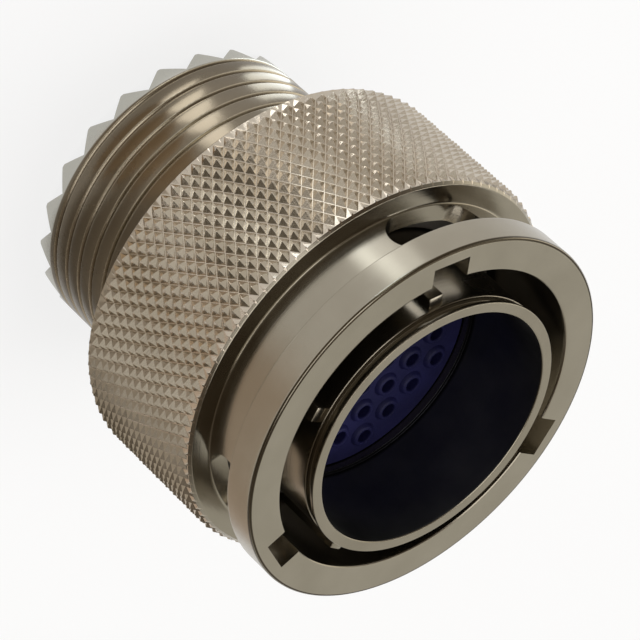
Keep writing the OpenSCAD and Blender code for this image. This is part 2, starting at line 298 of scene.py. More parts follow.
def nickelFinish(name, settings):
    material, tree, shader = newMaterial(name)
    place, rings, radius, height = turnCoords(tree)
    cloud = noiseNode(tree, place, settings["cloudScale"], noiseSet["cloudDetail"])
    colour = cloudColour(tree, cloud, settings["tint"], settings["shine"])
    if "lip" in settings:
        # painted highlight: a lighter band at the radii of the thread grooves' lips
        foot, low, high, crest = (r * mm for r in settings["lipRadii"])
        lipHighlight = mathNode(tree, "MINIMUM", rangeNode(tree, radius, 0, 1, foot, low),
                        rangeNode(tree, radius, 1, 0, high, crest))
        colour = blend(tree, lipHighlight, colour, settings["lip"])
    if "rear" in settings:
        # lowest part in a tint of its own: painted light on the thread's serrated rear end, painted shade at
        # the foot of the bore
        low, high = (h * mm for h in settings["rearHeight"])
        colour = blend(tree, rangeNode(tree, height, 1, 0, low, high), colour, settings["rear"])
    if "edge" in settings:
        # painted reflection: front edge darkened on both sides of a line of plain nickel, by the angle round
        # its corner
        out = mathNode(tree, "SUBTRACT", radius, (settings["edgeRadius"] - settings["edgeCut"]) * mm)
        up = mathNode(tree, "SUBTRACT", height, (ringHigh.z - settings["edgeCut"]) * mm)
        angle = mathNode(tree, "DIVIDE", mathNode(tree, "ARCTAN2", up, out), math.pi / 2)
        stops = [(stop, (share, share, share)) for stop, share in settings["edgeShadeShares"]]
        colour = blend(tree, rampNode(tree, angle, stops), colour, settings["edge"])
    tree.links.new(colour, shader.inputs["Base Color"])
    tree.links.new(rangeNode(tree, cloud, *settings["roughness"]), shader.inputs["Roughness"])
    if "pitScale" in settings:
        marks = noiseNode(tree, place, settings["pitScale"], noiseSet["grainDetail"])
        depth = settings["pitDepth"]
    else:
        marks = noiseNode(tree, rings, settings["lineScale"], noiseSet["lineDetail"])
        depth = settings["lineDepth"]
    tree.links.new(bumpNode(tree, marks, depth, noiseSet["lineStep"]), shader.inputs["Normal"])
    shader.inputs["Metallic"].default_value = 1
    return material


def mouldedFinish(name, settings):
    material, tree, shader = newMaterial(name)
    place = tree.nodes.new("ShaderNodeTexCoord").outputs["Object"]
    cloud = noiseNode(tree, place, settings["cloudScale"], noiseSet["cloudDetail"])
    grain = noiseNode(tree, place, settings["grainScale"], noiseSet["grainDetail"])
    colour = cloudColour(tree, cloud, settings["dark"], settings["light"])
    relief = bumpNode(tree, grain, settings["grainDepth"], noiseSet["grainStep"])
    tree.links.new(colour, shader.inputs["Base Color"])
    tree.links.new(rangeNode(tree, grain, *settings["roughness"]), shader.inputs["Roughness"])
    tree.links.new(relief, shader.inputs["Normal"])
    shader.inputs["Specular IOR Level"].default_value = settings["gloss"]
    return material


nickelLook = dict(tint=(0.3, 0.27, 0.213), shine=(0.345, 0.312, 0.25), roughness=(0.18, 0.25),
                  cloudScale=260, lineScale=9000, lineDepth=0.12)
shellLook = dict(nickelLook, tint=(0.27, 0.24, 0.186), shine=(0.31, 0.277, 0.218), roughness=(0.2, 0.28))
# thread nickel painted darker and browner than the shell's, as painted shade; its lip tint is a painted
# highlight and its rear tint is painted light
threadLook = dict(nickelLook, tint=(0.165, 0.135, 0.096), shine=(0.195, 0.162, 0.118), roughness=(0.22, 0.3),
                  lip=(0.5, 0.435, 0.33), lipRadii=(8.625, 8.7, 8.735, 8.75),
                  rear=(0.55, 0.54, 0.49), rearHeight=(0.92, 1.0))
# ring nickel with a painted reflection along the band's front edge
ringLook = dict(nickelLook, edge=(0.05, 0.038, 0.022), edgeRadius=11.405, edgeCut=0.17,
                edgeShadeShares=((0, 0), (0.08, 1), (0.39, 1), (0.47, 0),
                            (0.53, 0), (0.61, 1), (0.92, 1), (1, 0)))
# bore nickel painted darker than the shell's as painted shade inside the barrel; its near-black rear tint is
# painted shade on the ledge at the bore's foot
boreLook = dict(nickelLook, tint=(0.15, 0.15, 0.14), shine=(0.19, 0.19, 0.178), roughness=(0.32, 0.42),
                rear=(0.03, 0.03, 0.034), rearHeight=(17.7, 17.9))
# knurl nickel painted lighter than the ring's nickel as painted light; its pits are bumps
knurlLook = dict(nickelLook, tint=(0.472, 0.41, 0.33), shine=(0.567, 0.502, 0.415), roughness=(0.12, 0.22),
                 pitScale=9000, pitDepth=0.4)
steelLook = dict(tint=(0.4, 0.39, 0.375), shine=(0.5, 0.49, 0.475), roughness=(0.25, 0.4),
                 cloudScale=300, lineScale=12000, lineDepth=0.15)
goldLook = dict(tint=(0.78, 0.56, 0.2), shine=(0.86, 0.64, 0.26), roughness=(0.2, 0.32),
                cloudScale=900, lineScale=14000, lineDepth=0.1)
blueRubberLook = dict(dark=(0.006, 0.006, 0.036), light=(0.01, 0.01, 0.058), roughness=(0.5, 0.65),
                      gloss=0.2, cloudScale=420, grainScale=9000, grainDepth=0.25)
bluePlasticLook = dict(dark=(0.014, 0.018, 0.08), light=(0.022, 0.028, 0.12), roughness=(0.3, 0.45),
                       gloss=0.5, cloudScale=420, grainScale=7000, grainDepth=0.15)
darkRubberLook = dict(dark=(0.05, 0.043, 0.034), light=(0.07, 0.06, 0.047), roughness=(0.55, 0.7),
                      gloss=0.4, cloudScale=500, grainScale=9000, grainDepth=0.3)

shellNickel = nickelFinish("shellNickel", shellLook)
threadNickel = nickelFinish("threadNickel", threadLook)
boreNickel = nickelFinish("boreNickel", boreLook)
ringNickel = nickelFinish("ringNickel", ringLook)
knurlNickel = nickelFinish("knurlNickel", knurlLook)
springSteel = nickelFinish("springSteel", steelLook)
goldPlate = nickelFinish("goldPlate", goldLook)
blueRubber = mouldedFinish("blueRubber", blueRubberLook)
bluePlastic = mouldedFinish("bluePlastic", bluePlasticLook)
darkRubber = mouldedFinish("darkRubber", darkRubberLook)
print("finishes ready")


def hand(piece, body, node, slot, *materials):
    # a finished piece stands for its CAD node
    piece.data.materials.clear()
    for material in materials:
        piece.data.materials.append(material)
    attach(piece, body)
    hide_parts(node)
    print(piece.name, len(piece.data.polygons), "faces")


# plug shell: barrel, flange, neck, thread and serrations

shellSet = dict(boreRadius=7.265, barrelWall=0.57, boreDepth=5.8, rimLand=0.22, rimLip=0.07, rimGroove=0.5,
                rimGrooveDepth=0.3, insertRadius=7.455, threadWall=1.3, threadLength=7.2, reliefWidth=1,
                reliefDepth=0.7, neckStep=0.15, springGap=0.05, seatGap=0.08, stopHeight=15.7,
                clipSlack=0.025, clipRoom=0.05, ledge=0.05, boreRoom=0.02)
shellCuts = dict(rearInner=0.05, rearOuter=0.06, thread=0.14, inside=0.05, neck=0.1, flange=0.1, barrel=0.09,
                 rimGroove=0.03, rimRear=0.04, rimOuter=0.06, rimInner=0.1, boreFoot=0.03, seat=0.04,
                 clip=0.03)
toothSet = dict(count=22, height=0.82, land=0.2, firstGap=5.1, shares=(0, 0.2, 0.4, 0.6, 0.8, 0.92))
threadSet = dict(pitch=1.1, firstHeight=1.27, firstAngle=270, turns=4, lead=0.28, fade=0.2, fadeLift=0.03,
                 steps=132, clear=0.06,
                 lips=((0.21, -0.004), (0.165, 0.006), (0.125, 0.02), (0.095, 0.047), (0.03, 0.13)))
keySet = dict(angles=(234, 295, 16, 82, 145), width=0.88, height=0.66, length=4.3, setback=0.2, edge=0.07)

barrelRadius = shellSet["boreRadius"] + shellSet["barrelWall"]
barrelTop = shellHigh.z - shellSet["rimLand"] - shellSet["rimGroove"]
seatTop = shellHigh.z - shellSet["boreDepth"]
reliefTop = shellSet["threadLength"] + shellSet["reliefWidth"]
threadRadius = shellSet["insertRadius"] + shellSet["threadWall"]


def toothRise(radius, angle):
    step = 2 * math.pi / toothSet["count"]
    off = (angle - math.radians(toothSet["firstGap"]) + step / 2) % step - step / 2
    half = (step * threadRadius - toothSet["land"]) / 2
    return max(0, toothSet["height"] * (1 - radius * math.sin(abs(off)) / half))


def toothTurns():
    # turn steps that meet every edge of the serrations
    step = 2 * math.pi / toothSet["count"]
    shares = list(toothSet["shares"])
    offsets = [-s for s in reversed(shares[1:])] + shares + [1]
    first = math.radians(toothSet["firstGap"])
    return [first + step * (i + off / 2) for i in range(toothSet["count"]) for off in offsets]


def threadCutter():
    rows = []
    lead, fade, steps = threadSet["lead"], threadSet["fade"], threadSet["steps"]
    start, end = -lead - fade, threadSet["turns"] + lead + fade
    rim, wide = threadRadius + threadSet["clear"], threadSet["lips"][0][0]
    for i in range(int((end - start) * steps) + 1):
        turn = start + i / steps
        deep = max(0, min(1, (turn - start) / fade, (end - turn) / fade))
        angle = math.radians(threadSet["firstAngle"]) + 2 * math.pi * turn
        height = threadSet["firstHeight"] + threadSet["pitch"] * turn
        lift = threadSet["fadeLift"] * (1 - deep)
        side = [(threadRadius - depth * deep + lift, half) for half, depth in threadSet["lips"]]
        section = [(rim, wide), *side, *[(r, -z) for r, z in reversed(side)], (rim, -wide)]
        rows.append([(r * math.cos(angle), r * math.sin(angle), height + z) for r, z in section])
    tool = rowsMesh("threadCutter", rows, wrapRows=False, caps=True)
    tidyNormals(tool)
    return tool


def keyBlock(angle):
    sink = shellSet["barrelWall"] / 2
    size = Vector((keySet["height"] + sink, keySet["width"], keySet["length"]))
    middle = Vector((barrelRadius - sink + size.x / 2, 0, barrelTop - keySet["setback"] - size.z / 2))
    bm = bmesh.new()
    bmesh.ops.create_cube(bm, size=1)
    bmesh.ops.transform(bm, verts=bm.verts, matrix=Matrix.Diagonal((*size, 1)))
    bmesh.ops.bevel(bm, geom=bm.edges, offset=keySet["edge"], segments=2, profile=0.5, affect="EDGES")
    turn = Matrix.Rotation(math.radians(angle), 4, "Z")
    bmesh.ops.transform(bm, verts=bm.verts, matrix=Matrix.Scale(mm, 4) @ turn @ Matrix.Translation(middle))
    mesh = bpy.data.meshes.new("key")
    bm.to_mesh(mesh)
    bm.free()
    return linkMesh("key", mesh)


def makeShell():
    s, c = shellSet, shellCuts
    flangeRadius, flangeFront = shellHigh.x, padLow.z
    flangeRear = springHigh.z + s["springGap"]
    seatRadius = faceHigh.x + s["seatGap"]
    reliefRadius, neckRadius = threadRadius - s["reliefDepth"], threadRadius - s["neckStep"]
    grooveRadius, rimRadius = barrelRadius - s["rimGrooveDepth"], barrelRadius + s["rimLip"]
    clipRadius = circlipHigh.y + s["clipRoom"]
    shell = turned("plugShell", [
        (s["insertRadius"], 0, c["rearInner"], 1),
        (threadRadius, 0, c["rearOuter"], 1),
        (threadRadius, s["threadLength"], c["thread"]),
        (reliefRadius, s["threadLength"], c["inside"]),
        (reliefRadius, reliefTop, c["inside"]),
        (neckRadius, reliefTop, c["neck"]),
        (neckRadius, flangeRear, c["inside"]),
        (flangeRadius, flangeRear, c["flange"]),
        (flangeRadius, flangeFront, c["flange"]),
        (barrelRadius, flangeFront, c["inside"]),
        (barrelRadius, barrelTop, c["barrel"]),
        (grooveRadius, barrelTop, c["rimGroove"]),
        (grooveRadius, barrelTop + s["rimGroove"], c["rimGroove"]),
        (rimRadius, barrelTop + s["rimGroove"], c["rimRear"]),
        (rimRadius, shellHigh.z, c["rimOuter"]),
        (s["boreRadius"], shellHigh.z, c["rimInner"]),
        (s["boreRadius"], seatTop, c["boreFoot"]),
        (seatRadius, seatTop, c["seat"]),
        (seatRadius, s["stopHeight"], 0),
        (s["insertRadius"], s["stopHeight"], 0),
        (s["insertRadius"], circlipHigh.z + s["clipSlack"], c["clip"]),
        (clipRadius, circlipHigh.z + s["clipSlack"], 0),
        (clipRadius, circlipLow.z - s["clipSlack"], 0),
        (s["insertRadius"], circlipLow.z - s["clipSlack"], c["clip"]),
    ], toothTurns(), toothRise)
    tidyNormals(shell)
    carve(shell, threadCutter())
    for angle in keySet["angles"]:
        carve(shell, keyBlock(angle), "UNION")
    tidyNormals(shell)
    return shell


def shellPart(face):
    # number of the finish: 1 at the rear end (thread with painted shade and highlights), 2 on the bore wall
    # and the ledge at its foot (painted shade)
    spot = face.center / mm
    if spot.z < reliefTop:
        return 1
    inward = face.normal.xy.dot(face.center.xy) <= 0
    above = spot.z > seatTop - shellSet["ledge"]
    within = spot.xy.length < shellSet["boreRadius"] + shellSet["boreRoom"]
    return 2 if inward and above and within else 0


plugShell = makeShell()
hand(plugShell, "shell", "plug_shell", "shell_nickel", shellNickel, threadNickel, boreNickel)
for polygon in plugShell.data.polygons:
    polygon.material_index = shellPart(polygon)


# coupling ring: band, groove, bayonet tracks and knurl

ringSet = dict(mouthRadius=9.425, chamberRadius=10.205, bandRadius=ringLook["edgeRadius"],
               grooveRadius=10.415, bandWidth=1.92, grooveWidth=2.85, chamberGap=0.05, clipSlack=0.025,
               clipRoom=0.05, turns=240)
ringCuts = dict(rear=0.12, knurlRear=0.02, knurlFront=0.03, grooveRear=0.1, grooveFront=0.06, bandRear=0.09,
                mouth=0.14, mouthRear=0.05, clip=0.03)
trackSet = dict(count=3, firstAngle=230.6, lockTurn=20, notchWidth=2.3, notchRadius=10.605, windowMargin=0.1,
                windowSides=40, clear=1)
knurlSet = dict(around=98, rows=17, depth=0.3, bevel=0.45, skew=0.18, wear=0.9, seed=4, sharp=20,
                floorRoom=0.02, levels=((1.02, -0.1), (0.2, 0.81), (0.1, 0.93), (0.03, 0.98)))

bandRear = ringHigh.z - ringSet["bandWidth"]
shoulder = bandRear - ringSet["grooveWidth"]
rootRadius = ringHigh.x - knurlSet["depth"]
bevelRadius = ringHigh.x - knurlSet["bevel"]
bevelSlope = knurlSet["bevel"] - knurlSet["depth"]
rowHeight = (shoulder - ringLow.z - 2 * bevelSlope) / (knurlSet["rows"] - 1)


def hullTool(name, points):
    bm = bmesh.new()
    for p in points:
        bm.verts.new(Vector(p) * mm)
    made = bmesh.ops.convex_hull(bm, input=bm.verts)
    spare = made["geom_interior"] + made["geom_unused"]
    loose = {item for item in spare if isinstance(item, bmesh.types.BMVert)}
    bmesh.ops.delete(bm, geom=list(loose), context="VERTS")
    bmesh.ops.recalc_face_normals(bm, faces=bm.faces)
    mesh = bpy.data.meshes.new(name)
    bm.to_mesh(mesh)
    bm.free()
    return linkMesh(name, mesh)


def trackTools(angle):
    t, r = trackSet, ringSet
    middle = bandRear - r["grooveWidth"] / 2
    inner, outer = r["mouthRadius"] - t["clear"], r["bandRadius"]
    half = r["grooveWidth"] / 2 - t["windowMargin"]
    step = 360 / t["windowSides"]
    window = []
    for turn in (angle, angle - t["lockTurn"]):
        spin = Matrix.Rotation(math.radians(turn), 3, "Z")
        for i in range(t["windowSides"]):
            a = math.radians(step * (i + 0.5))
            for x in (inner, outer):
                window.append(spin @ Vector((x, half * math.cos(a), middle + half * math.sin(a))))
    spin = Matrix.Rotation(math.radians(angle), 3, "Z")
    side, front = t["notchWidth"] / 2, ringHigh.z + t["clear"]
    notch = [spin @ Vector((x, y, z)) for x in (inner, t["notchRadius"])
             for y in (-side, side) for z in (middle, front)]
    return hullTool("window", window), hullTool("notch", notch)


def ringBody():
    r, c = ringSet, ringCuts
    chamberTop = padLow.z + r["chamberGap"]
    clipRadius = clipHigh.y + r["clipRoom"]
    body = turned("couplingRing", [
        (r["chamberRadius"], ringLow.z, c["rear"]),
        (bevelRadius, ringLow.z, c["knurlRear"]),
        (rootRadius, ringLow.z + bevelSlope, 0),
        (rootRadius, shoulder - bevelSlope, 0),
        (bevelRadius, shoulder, c["knurlFront"]),
        (r["grooveRadius"], shoulder, c["grooveRear"]),
        (r["grooveRadius"], bandRear, c["grooveFront"]),
        (r["bandRadius"], bandRear, c["bandRear"]),
        (r["bandRadius"], ringHigh.z, ringLook["edgeCut"]),
        (r["mouthRadius"], ringHigh.z, c["mouth"]),
        (r["mouthRadius"], chamberTop, c["mouthRear"]),
        (r["chamberRadius"], chamberTop, 0),
        (r["chamberRadius"], clipHigh.z + r["clipSlack"], c["clip"]),
        (clipRadius, clipHigh.z + r["clipSlack"], 0),
        (clipRadius, clipLow.z - r["clipSlack"], 0),
        (r["chamberRadius"], clipLow.z - r["clipSlack"], c["clip"]),
    ], evenTurns(r["turns"]))
    tidyNormals(body)
    for i in range(trackSet["count"]):
        for tool in trackTools(trackSet["firstAngle"] + 360 * i / trackSet["count"]):
            carve(body, tool)
    tidyNormals(body)
    return body


def knurlTooth():
    # one diamond with a blunt tip, +X outwards, leaning as its rows are set off
    wide = math.pi * ringHigh.x / knurlSet["around"]
    depth, skew = knurlSet["depth"], knurlSet["skew"]
    diamond = ((1, 0), (skew, 1), (-1, 0), (-skew, -1))
    rows = [[(depth * up, wide * size * y, rowHeight * size * z) for y, z in diamond]
            for size, up in knurlSet["levels"]]
    tooth = rowsMesh("knurlTooth", rows, wrapRows=False, caps=True)
    tidyNormals(tooth, sharp=knurlSet["sharp"])
    return tooth


def knurlTree():
    tree, source, target = newTree("knurlGrip", [
        ("Tooth", "Object"), ("Around", "Int"), ("Rows", "Int"), ("Radius", "Float"),
        ("Row Height", "Float"), ("Skew", "Float"), ("First Row", "Float"), ("Low", "Float"),
        ("High", "Float"), ("Edge Radius", "Float"), ("Seed", "Int"), ("Material", "Material")])
    add, link, given = tree.nodes.new, tree.links.new, source.outputs

    index = add("GeometryNodeInputIndex").outputs[0]
    row = mathNode(tree, "FLOOR", mathNode(tree, "DIVIDE", index, given["Around"]))
    column = mathNode(tree, "MODULO", index, given["Around"])
    lean = mathNode(tree, "MULTIPLY_ADD", row, given["Skew"], mathNode(tree, "MODULO", row, 2))
    shift = mathNode(tree, "MULTIPLY", lean, 0.5)
    sweep = mathNode(tree, "MULTIPLY", mathNode(tree, "ADD", column, shift), 2 * math.pi)
    angle = mathNode(tree, "DIVIDE", sweep, given["Around"])
    place = add("ShaderNodeCombineXYZ")
    link(mathNode(tree, "MULTIPLY", mathNode(tree, "COSINE", angle), given["Radius"]), place.inputs[0])
    link(mathNode(tree, "MULTIPLY", mathNode(tree, "SINE", angle), given["Radius"]), place.inputs[1])
    link(mathNode(tree, "MULTIPLY_ADD", row, given["Row Height"], given["First Row"]), place.inputs[2])
    points = add("GeometryNodePoints")
    link(mathNode(tree, "MULTIPLY", given["Around"], given["Rows"]), points.inputs["Count"])
    link(place.outputs[0], points.inputs["Position"])

    turn = add("ShaderNodeCombineXYZ")
    link(angle, turn.inputs[2])
    spin = add("FunctionNodeEulerToRotation")
    link(turn.outputs[0], spin.inputs[0])
    wear = add("FunctionNodeRandomValue")
    wear.data_type = "FLOAT_VECTOR"
    wear.inputs["Min"].default_value = (knurlSet["wear"], 1, 1)
    wear.inputs["Max"].default_value = (1, 1, 1)
    link(given["Seed"], wear.inputs["Seed"])
    tooth = add("GeometryNodeObjectInfo")
    link(given["Tooth"], tooth.inputs["Object"])
    teeth = add("GeometryNodeInstanceOnPoints")
    link(points.outputs[0], teeth.inputs["Points"])
    link(tooth.outputs["Geometry"], teeth.inputs["Instance"])
    link(spin.outputs[0], teeth.inputs["Rotation"])
    link(wear.outputs[0], teeth.inputs["Scale"])
    real = add("GeometryNodeRealizeInstances")
    link(teeth.outputs[0], real.inputs[0])

    # trim the teeth to the bevels at both ends
    split = add("ShaderNodeSeparateXYZ")
    link(add("GeometryNodeInputPosition").outputs[0], split.inputs[0])
    x, y, z = split.outputs
    radius = radiusNode(tree, x, y)
    height = mathNode(tree, "MINIMUM", mathNode(tree, "MAXIMUM", z, given["Low"]), given["High"])
    over = mathNode(tree, "MINIMUM", mathNode(tree, "SUBTRACT", given["High"], height),
                    mathNode(tree, "SUBTRACT", height, given["Low"]))
    limit = mathNode(tree, "ADD", given["Edge Radius"], over)
    pull = mathNode(tree, "DIVIDE", mathNode(tree, "MINIMUM", radius, limit), radius)
    trimmed = add("ShaderNodeCombineXYZ")
    link(mathNode(tree, "MULTIPLY", x, pull), trimmed.inputs[0])
    link(mathNode(tree, "MULTIPLY", y, pull), trimmed.inputs[1])
    link(height, trimmed.inputs[2])
    move = add("GeometryNodeSetPosition")
    link(real.outputs[0], move.inputs["Geometry"])
    link(trimmed.outputs[0], move.inputs["Position"])
    paint = add("GeometryNodeSetMaterial")
    link(move.outputs[0], paint.inputs["Geometry"])
    link(given["Material"], paint.inputs["Material"])
    link(paint.outputs[0], target.inputs[0])
    return tree


def knurlGrip():
    tooth = knurlTooth()
    grip = linkMesh("knurlGrip", bpy.data.meshes.new("knurlGrip"))
    runTree(grip, knurlTree(), {
        "Tooth": tooth, "Around": knurlSet["around"], "Rows": knurlSet["rows"], "Radius": rootRadius * mm,
        "Row Height": rowHeight * mm, "Skew": knurlSet["skew"], "First Row": (ringLow.z + bevelSlope) * mm,
        "Low": ringLow.z * mm, "High": shoulder * mm, "Edge Radius": bevelRadius * mm,
        "Seed": knurlSet["seed"], "Material": knurlNickel})
    bpy.data.objects.remove(tooth)
    return grip


couplingRing = ringBody()
hand(couplingRing, "ring", "coupling_ring", "ring_nickel", ringNickel, knurlNickel)
for polygon in couplingRing.data.polygons:
    # floor of the knurl's grooves, in the knurl nickel with its painted light
    if abs(polygon.center.xy.length / mm - rootRadius) < knurlSet["floorRoom"]:
        polygon.material_index = 1
hand(knurlGrip(), "ring", "coupling_ring", "ring_nickel", knurlNickel)


# rings behind the coupling ring and the insert

clipSet = dict(split=18, ringInner=8.955, insertInner=7.025, edge=0.08, turns=200)


def flatRing(name, inner, outer, low, high, cuts, split=0):
    # whole ring, or one with a gap of that many degrees
    rear, front = cuts
    corners = [(inner, low.z, rear), (outer, low.z, rear), (outer, high.z, front), (inner, high.z, front)]
    turns = splitTurns(split, clipSet["turns"]) if split else evenTurns(clipSet["turns"])
    ring = turned(name, corners, turns, wrap=not split)
    tidyNormals(ring)
    return ring


clipCuts = (clipSet["edge"], clipSet["edge"])
thrustWasher = flatRing("thrustWasher", clipSet["ringInner"], washerHigh.x, washerLow, washerHigh, clipCuts)
hand(thrustWasher, "washer", "thrust_washer", "spring_steel", springSteel)
ringClip = flatRing("ringClip", clipSet["ringInner"], clipHigh.y, clipLow, clipHigh, clipCuts,
                    clipSet["split"])
hand(ringClip, "ring", "ring_retainer", "spring_steel", springSteel)
insertClip = flatRing("insertClip", clipSet["insertInner"], circlipHigh.y, circlipLow, circlipHigh, clipCuts,
                      clipSet["split"])
hand(insertClip, "shell", "insert_retainer", "spring_steel", springSteel)

# wave spring: a strip waved round its turn, in a mesh of its own
springSet = dict(waves=4, strip=0.3, edge=0.05, turns=144, travel=0.8)


def makeSpring():
    s = springSet
    middle, half = (springLow.z + springHigh.z) / 2, s["strip"] / 2
    rise = (springHigh.z - springLow.z) / 2 - half
    spring = turned("waveSpring", [
        (clipSet["ringInner"], middle - half, s["edge"], 1), (springHigh.x, middle - half, s["edge"], 1),
        (springHigh.x, middle + half, s["edge"], 1), (clipSet["ringInner"], middle + half, s["edge"], 1),
    ], evenTurns(s["turns"]), lambda radius, angle: rise * math.cos(s["waves"] * angle))
    tidyNormals(spring)
    return spring


waveSpring = makeSpring()
hand(waveSpring, "shell", "wave_spring", "spring_steel", springSteel)
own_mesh(waveSpring)

# rubber ring on the flange
padSet = dict(inner=7.915, foot=0.05, edge=0.18)
padCuts = (padSet["foot"], padSet["edge"])
flangePad = flatRing("flangePad", padSet["inner"], padHigh.x, padLow, padHigh, padCuts)
hand(flangePad, "shell", "peripheral_seal", "dark_rubber", darkRubber)


# insert faces: a plate with a raised ring round each contact hole

insertSet = dict(rows=3, pitch=1.9, bumpRadius=0.75, bumpHeight=0.25, pinHole=0.4, wireHole=0.5, lip=0.05,
                 slope=(0.08, 0.07), ease=0.01, dip=0.005, around=28, edgeTurns=120, weld=0.002, sharp=38)


def contactPlaces():
    rows, pitch = insertSet["rows"], insertSet["pitch"]
    return [((i - rows + abs(row) / 2) * pitch, row * pitch * math.sqrt(3) / 2)
            for row in range(-rows, rows + 1) for i in range(2 * rows - abs(row) + 1)]


def ringOfEdges(bm, x, y, radius, z, count):
    spots = [(x + radius * math.cos(a), y + radius * math.sin(a), z) for a in evenTurns(count)]
    ring = [bm.verts.new(Vector(spot) * mm) for spot in spots]
    return [bm.edges.new((ring[i], ring[(i + 1) % count])) for i in range(count)]


def plateMesh(name, outer, topHole, bottomHole, top, bottom):
    # disc whose holes take the rim of the raised rings
    bm = bmesh.new()
    s = insertSet
    rims = []
    for z, hole in ((top, topHole), (bottom, bottomHole)):
        rim = ringOfEdges(bm, 0, 0, outer, z, s["edgeTurns"])
        holes = [e for x, y in contactPlaces() for e in ringOfEdges(bm, x, y, hole, z, s["around"])]
        bmesh.ops.triangle_fill(bm, edges=rim + holes, use_beauty=True)
        rims += rim
    bmesh.ops.bridge_loops(bm, edges=rims)
    mesh = bpy.data.meshes.new(name)
    bm.to_mesh(mesh)
    bm.free()
    return linkMesh(name, mesh)


def raisedRing(hole, top, bottom):
    # foot, rounded top and the hole's wall, open at both ends
    s = insertSet
    foot, crest = s["bumpRadius"], top + s["bumpHeight"]
    rim = (foot + hole) / 2
    out, down = s["slope"]
    profile = [
        (foot, top),
        (rim + out, crest - down),
        (rim, crest - s["ease"]),
        ((rim + hole) / 2, crest),
        (hole + s["lip"], crest - s["dip"]),
        (hole + s["ease"], crest - s["lip"]),
        (hole, crest - 2 * s["lip"]),
        (hole, bottom),
    ]
    rows = [[(r * math.cos(a), r * math.sin(a), z) for a in evenTurns(s["around"])] for r, z in profile]
    return rowsMesh("raisedRing", rows, wrapRows=False)


def faceTree():
    tree, source, target = newTree("insertFace", [
        ("Places", "Object"), ("Raised Ring", "Object"), ("Weld", "Float"), ("Material", "Material")])
    add, link, given = tree.nodes.new, tree.links.new, source.outputs
    places, ring = add("GeometryNodeObjectInfo"), add("GeometryNodeObjectInfo")
    link(given["Places"], places.inputs["Object"])
    link(given["Raised Ring"], ring.inputs["Object"])
    copies = add("GeometryNodeInstanceOnPoints")
    link(places.outputs["Geometry"], copies.inputs["Points"])
    link(ring.outputs["Geometry"], copies.inputs["Instance"])
    join = add("GeometryNodeJoinGeometry")
    link(copies.outputs[0], join.inputs[0])
    link(given["Geometry"], join.inputs[0])
    real = add("GeometryNodeRealizeInstances")
    link(join.outputs[0], real.inputs[0])
    weld = add("GeometryNodeMergeByDistance")
    link(real.outputs[0], weld.inputs["Geometry"])
    link(given["Weld"], weld.inputs["Distance"])
    paint = add("GeometryNodeSetMaterial")
    link(weld.outputs[0], paint.inputs["Geometry"])
    link(given["Material"], paint.inputs["Material"])
    link(paint.outputs[0], target.inputs[0])
    return tree


def insertFace(name, tree, outer, hole, top, bottom, flip):
    # built face up; flip mirrors it to look down
    side = -1 if flip else 1
    top, bottom = side * top, side * bottom
    plate = plateMesh(name, outer, insertSet["bumpRadius"], hole, top, bottom)
    ring = raisedRing(hole, top, bottom)
    spots = bpy.data.meshes.new("places")
    spots.from_pydata([(x * mm, y * mm, 0) for x, y in contactPlaces()], [], [])
    places = linkMesh("places", spots)
    runTree(plate, tree, {
        "Places": places, "Raised Ring": ring, "Weld": insertSet["weld"] * mm, "Material": blueRubber})
    for spare in (ring, places):
        bpy.data.objects.remove(spare)
    plate.data.transform(Matrix.Diagonal((1, 1, side, 1)))
    tidyNormals(plate, sharp=insertSet["sharp"])
    return plate


insertTree = faceTree()
faceSeal = insertFace("faceSeal", insertTree, faceHigh.x, insertSet["pinHole"],
                      faceHigh.z - insertSet["bumpHeight"], faceLow.z, False)
hand(faceSeal, "shell", "face_seal", "blue_rubber", blueRubber)
wireGrommet = insertFace("wireGrommet", insertTree, grommetHigh.x, insertSet["wireHole"],
                         grommetLow.z + insertSet["bumpHeight"], grommetHigh.z, True)
hand(wireGrommet, "shell", "wire_grommet", "blue_rubber", blueRubber)


# hidden CAD nodes keep their shape

nodeFinish = {"front_insulator": bluePlastic, "retention_disc": bluePlastic, "rear_insulator": bluePlastic}
for name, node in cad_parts.items():
    finish = goldPlate if name.startswith("contact_") else nodeFinish.get(name)
    if finish:
        node.data.materials.clear()
        node.data.materials.append(finish)
print("CAD nodes painted")


# stage, light and camera

stageSet = dict(size=1.2, colour=(0.93, 0.93, 0.925), roughness=0.9, white=0.8, mirrorWhite=0.6)
skySet = dict(dim=(0.12, 0.09, 0.063), pale=(0.8, 0.79, 0.74), horizon=(0.3, 0.6), lowShare=0.88,
              back=(0.3, 0.75), right=(0.3, 0.85), rightShare=0.15)
boxSet = dict(
    topBox=dict(place=(20, -80, 450), aim=(0, 0, 0), size=(460, 420), glow=1.85),
    keyBox=dict(place=(-110, 130, 300), aim=(0, 10, 0), size=(200, 200), glow=2.4),
    leftBox=dict(place=(-270, 205, 90), aim=(0, 0, 15), size=(200, 170), glow=0.65, colour=(1, 0.92, 0.78)),
)
stripSet = dict(
    backStrip=dict(place=(-80, 50), size=(60, 22), turn=147, glow=2, colour=(1, 0.9, 0.7)),
    nearStrip=dict(place=(-9.5, -13), size=(10, 4), turn=46, glow=3.2, colour=(0.94, 0.98, 1)),
    farStrip=dict(place=(-24.2, -28), size=(16, 5), turn=46, glow=2.2, colour=(0.88, 0.95, 1)),
    farGlow=dict(place=(-28.3, -28.3), size=(16, 15), turn=46, glow=0.95, colour=(0.9, 0.95, 1)),
    outerStrip=dict(place=(-60, -82), size=(76, 26), turn=54, glow=4.6, colour=(0.72, 0.86, 1)),
    sideStrip=dict(place=(-11.15, -1.8), size=(3.7, 5.2), turn=0, glow=2.7, colour=(0.88, 0.97, 1)),
)
stripHeight, stripAim = 0.3, 50
